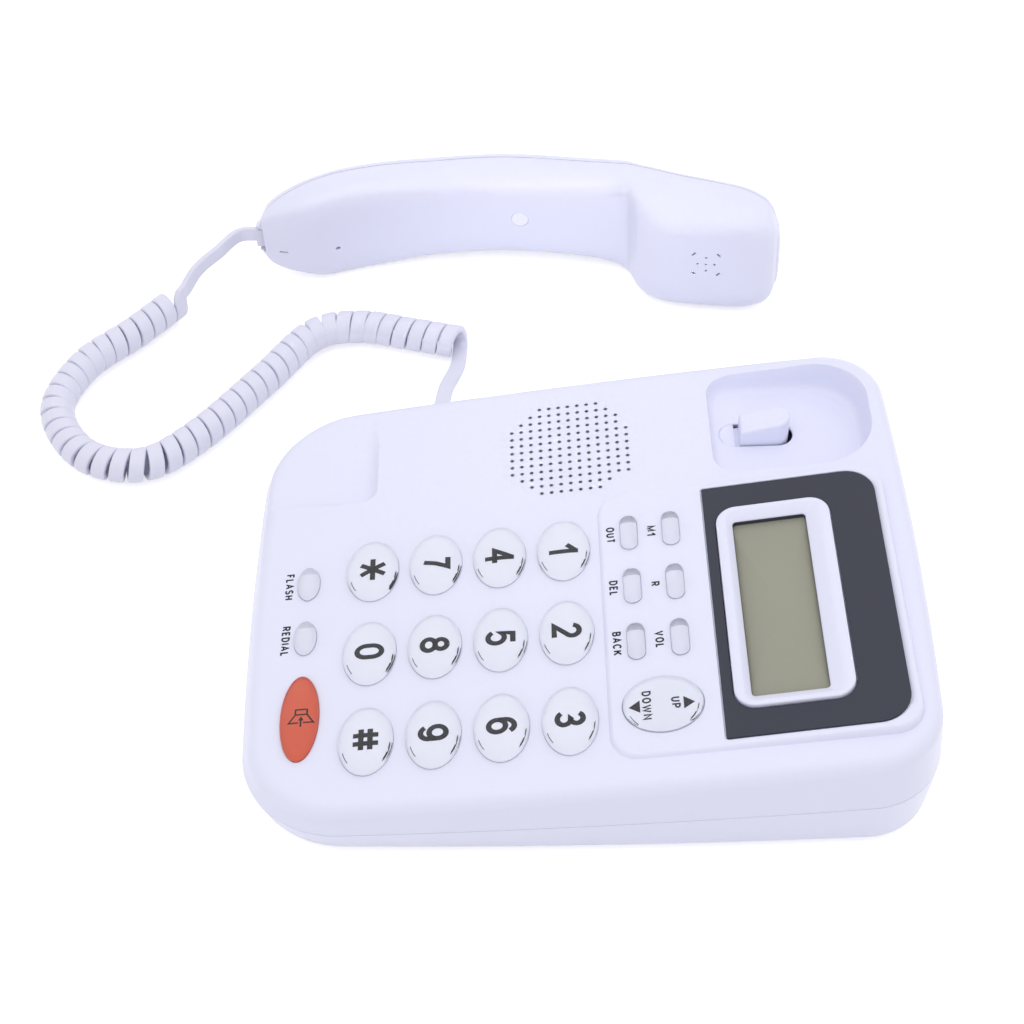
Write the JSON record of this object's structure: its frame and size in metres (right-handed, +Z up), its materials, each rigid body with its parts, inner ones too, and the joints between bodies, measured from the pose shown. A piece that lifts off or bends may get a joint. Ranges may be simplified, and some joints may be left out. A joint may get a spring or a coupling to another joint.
{
  "type": "corded desk telephone",
  "caption": "Corded desk telephone with a sloped keypad, display, loudspeaker grille, cradles with a sprung hook, and a curved handset on a curly cord laid beside it.",
  "frame": {"origin": "on the table, at the middle in plan of the base and the handset together, cord left out", "axes": "+X to the user's right, +Y from the dial keys towards the display, +Z up"},
  "size_m": [0.2704, 0.2739, 0.0425],
  "materials": {
    "white_housing": "satin to gloss moulded plastic",
    "clear_key": "clear domed caps, polished",
    "red_key": "translucent red, polished",
    "dark_overlay": "satin printed film",
    "display_glass": "olive grey reflective display",
    "steel": "plain",
    "black_plastic": "moulded",
    "grey_rubber": "matt",
    "circuit_board": "solder mask",
    "white_cord": "soft satin",
    "clear_plug": "clear moulded"
  },
  "bodies": {
    "base": {"base_bottom_shell": "white_housing", "base_plug": "clear_plug", "base_screw_1": "steel", "base_screw_2": "steel", "base_screw_3": "steel", "base_screw_4": "steel", "base_top_shell": "white_housing", "cord_base_lead": "white_cord", "cord_curls": "white_cord", "cord_handset_lead": "white_cord", "display_overlay": "dark_overlay", "handset_jack": "black_plastic", "hook_pin": "steel", "hook_switch": "black_plastic", "keypad_mat": "grey_rubber", "lcd_frame": "white_housing", "lcd_glass": "display_glass", "line_jack": "black_plastic", "loudspeaker": "black_plastic", "main_board": "circuit_board", "rubber_foot_1": "grey_rubber", "rubber_foot_2": "grey_rubber", "rubber_foot_3": "grey_rubber", "rubber_foot_4": "grey_rubber"},
    "back_key_cap": {"back_key": "clear_key"},
    "delete_key_cap": {"delete_key": "clear_key"},
    "flash_key_cap": {"flash_key": "clear_key"},
    "key_0_cap": {"key_0": "clear_key"},
    "key_1_cap": {"key_1": "clear_key"},
    "key_2_cap": {"key_2": "clear_key"},
    "key_3_cap": {"key_3": "clear_key"},
    "key_4_cap": {"key_4": "clear_key"},
    "key_5_cap": {"key_5": "clear_key"},
    "key_6_cap": {"key_6": "clear_key"},
    "key_7_cap": {"key_7": "clear_key"},
    "key_8_cap": {"key_8": "clear_key"},
    "key_9_cap": {"key_9": "clear_key"},
    "key_hash_cap": {"key_hash": "clear_key"},
    "key_star_cap": {"key_star": "clear_key"},
    "memory_key_cap": {"memory_key": "clear_key"},
    "out_key_cap": {"out_key": "clear_key"},
    "recall_key_cap": {"recall_key": "clear_key"},
    "redial_key_cap": {"redial_key": "clear_key"},
    "speaker_key_cap": {"speaker_key": "red_key"},
    "volume_key_cap": {"volume_key": "clear_key"},
    "rocker": {"rocker_key": "clear_key"},
    "hook": {"hook_lever": "white_housing"},
    "handset": {"handset_back_shell": "white_housing", "handset_end_jack": "black_plastic", "handset_front_shell": "white_housing", "handset_plug": "clear_plug", "handset_screw": "steel", "handset_screw_cap": "white_housing", "handset_weight": "steel", "microphone": "steel", "receiver_capsule": "black_plastic"}
  },
  "joints": [
    {"name": "back_key_press", "type": "slide", "parent": "base", "child": "back_key_cap", "axis": [0, 0.1219, -0.9925], "range_m": [0, 0.0012], "stiffness_N_per_m": 450},
    {"name": "delete_key_press", "type": "slide", "parent": "base", "child": "delete_key_cap", "axis": [0, 0.1219, -0.9925], "range_m": [0, 0.0012], "stiffness_N_per_m": 450},
    {"name": "flash_key_press", "type": "slide", "parent": "base", "child": "flash_key_cap", "axis": [0, 0.1219, -0.9925], "range_m": [0, 0.0012], "stiffness_N_per_m": 450},
    {"name": "key_0_press", "type": "slide", "parent": "base", "child": "key_0_cap", "axis": [0, 0.1219, -0.9925], "range_m": [0, 0.0012], "stiffness_N_per_m": 450},
    {"name": "key_1_press", "type": "slide", "parent": "base", "child": "key_1_cap", "axis": [0, 0.1219, -0.9925], "range_m": [0, 0.0012], "stiffness_N_per_m": 450},
    {"name": "key_2_press", "type": "slide", "parent": "base", "child": "key_2_cap", "axis": [0, 0.1219, -0.9925], "range_m": [0, 0.0012], "stiffness_N_per_m": 450},
    {"name": "key_3_press", "type": "slide", "parent": "base", "child": "key_3_cap", "axis": [0, 0.1219, -0.9925], "range_m": [0, 0.0012], "stiffness_N_per_m": 450},
    {"name": "key_4_press", "type": "slide", "parent": "base", "child": "key_4_cap", "axis": [0, 0.1219, -0.9925], "range_m": [0, 0.0012], "stiffness_N_per_m": 450},
    {"name": "key_5_press", "type": "slide", "parent": "base", "child": "key_5_cap", "axis": [0, 0.1219, -0.9925], "range_m": [0, 0.0012], "stiffness_N_per_m": 450},
    {"name": "key_6_press", "type": "slide", "parent": "base", "child": "key_6_cap", "axis": [0, 0.1219, -0.9925], "range_m": [0, 0.0012], "stiffness_N_per_m": 450},
    {"name": "key_7_press", "type": "slide", "parent": "base", "child": "key_7_cap", "axis": [0, 0.1219, -0.9925], "range_m": [0, 0.0012], "stiffness_N_per_m": 450},
    {"name": "key_8_press", "type": "slide", "parent": "base", "child": "key_8_cap", "axis": [0, 0.1219, -0.9925], "range_m": [0, 0.0012], "stiffness_N_per_m": 450},
    {"name": "key_9_press", "type": "slide", "parent": "base", "child": "key_9_cap", "axis": [0, 0.1219, -0.9925], "range_m": [0, 0.0012], "stiffness_N_per_m": 450},
    {"name": "key_hash_press", "type": "slide", "parent": "base", "child": "key_hash_cap", "axis": [0, 0.1219, -0.9925], "range_m": [0, 0.0012], "stiffness_N_per_m": 450},
    {"name": "key_star_press", "type": "slide", "parent": "base", "child": "key_star_cap", "axis": [0, 0.1219, -0.9925], "range_m": [0, 0.0012], "stiffness_N_per_m": 450},
    {"name": "memory_key_press", "type": "slide", "parent": "base", "child": "memory_key_cap", "axis": [0, 0.1219, -0.9925], "range_m": [0, 0.0012], "stiffness_N_per_m": 450},
    {"name": "out_key_press", "type": "slide", "parent": "base", "child": "out_key_cap", "axis": [0, 0.1219, -0.9925], "range_m": [0, 0.0012], "stiffness_N_per_m": 450},
    {"name": "recall_key_press", "type": "slide", "parent": "base", "child": "recall_key_cap", "axis": [0, 0.1219, -0.9925], "range_m": [0, 0.0012], "stiffness_N_per_m": 450},
    {"name": "redial_key_press", "type": "slide", "parent": "base", "child": "redial_key_cap", "axis": [0, 0.1219, -0.9925], "range_m": [0, 0.0012], "stiffness_N_per_m": 450},
    {"name": "speaker_key_press", "type": "slide", "parent": "base", "child": "speaker_key_cap", "axis": [0, 0.1219, -0.9925], "range_m": [0, 0.0012], "stiffness_N_per_m": 450},
    {"name": "volume_key_press", "type": "slide", "parent": "base", "child": "volume_key_cap", "axis": [0, 0.1219, -0.9925], "range_m": [0, 0.0012], "stiffness_N_per_m": 450},
    {"name": "rocker_tilt", "type": "hinge", "parent": "base", "child": "rocker", "pos_m": [0.10785, 0.02537, 0.03068], "axis": [1, 0, 0], "range_deg": [-4, 4], "stiffness_Nm_per_rad": 0.08},
    {"name": "hook_press", "type": "hinge", "parent": "base", "child": "hook", "pos_m": [0.00325, 0.03092, 0.0238], "axis": [1, 0, 0], "range_deg": [-7, 0], "stiffness_Nm_per_rad": 0.12, "springref_deg": 5.73},
    {"name": "handset_lift", "type": "slide", "parent": "base", "child": "handset", "axis": [0, 0, 1], "range_m": [0, 0.15]}
  ]
}
